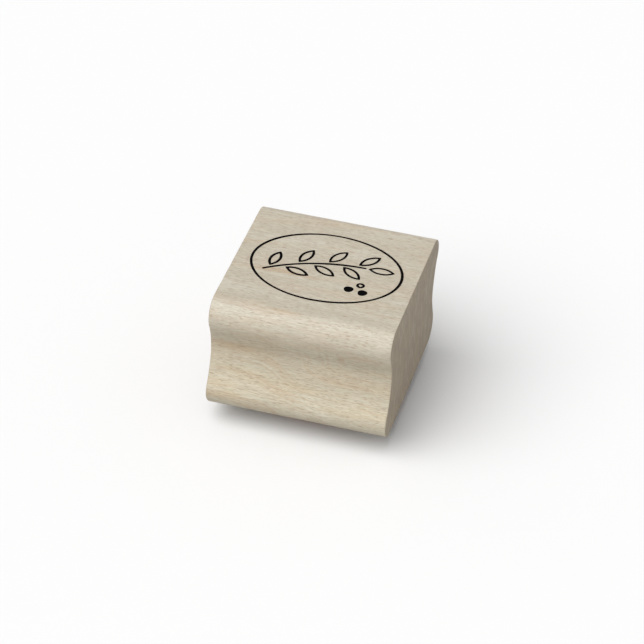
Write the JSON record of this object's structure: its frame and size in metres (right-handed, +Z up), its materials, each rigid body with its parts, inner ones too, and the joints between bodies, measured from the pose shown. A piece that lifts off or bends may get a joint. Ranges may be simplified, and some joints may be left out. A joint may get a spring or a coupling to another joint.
{
  "type": "rubber stamp",
  "caption": "Rubber stamp: moulded wooden block with a finger cove front and back, inked index print on top, foam cushion and engraved rubber die underneath.",
  "frame": {"origin": "centre of the printing face, on the surface that the stamp stands on", "axes": "+X along the moulding and the wood's grain, -Y towards the front cove, +Z up to the index print"},
  "size_m": [0.0382, 0.041, 0.0299],
  "materials": {
    "maple": "sanded bare maple, matt",
    "print_ink": "thin black ink film",
    "adhesive_film": "double-sided film",
    "cushion_foam": "fine closed-cell foam",
    "die_rubber": "matt laser-engraved rubber"
  },
  "bodies": {
    "block": {"wood_block": "maple", "index_oval_line": "print_ink", "index_stem": "print_ink", "index_leaves": "print_ink", "index_berries": "print_ink", "block_adhesive": "adhesive_film", "foam_cushion": "cushion_foam"},
    "die": {"die_adhesive": "adhesive_film", "rubber_die": "die_rubber"}
  },
  "joints": [
    {"name": "cushion_press", "type": "slide", "parent": "block", "child": "die", "axis": [0, 0, 1], "range_m": [0, 0.0006], "stiffness_N_per_m": 200, "springref_m": -0.002, "deforming": ["foam_cushion"]}
  ]
}
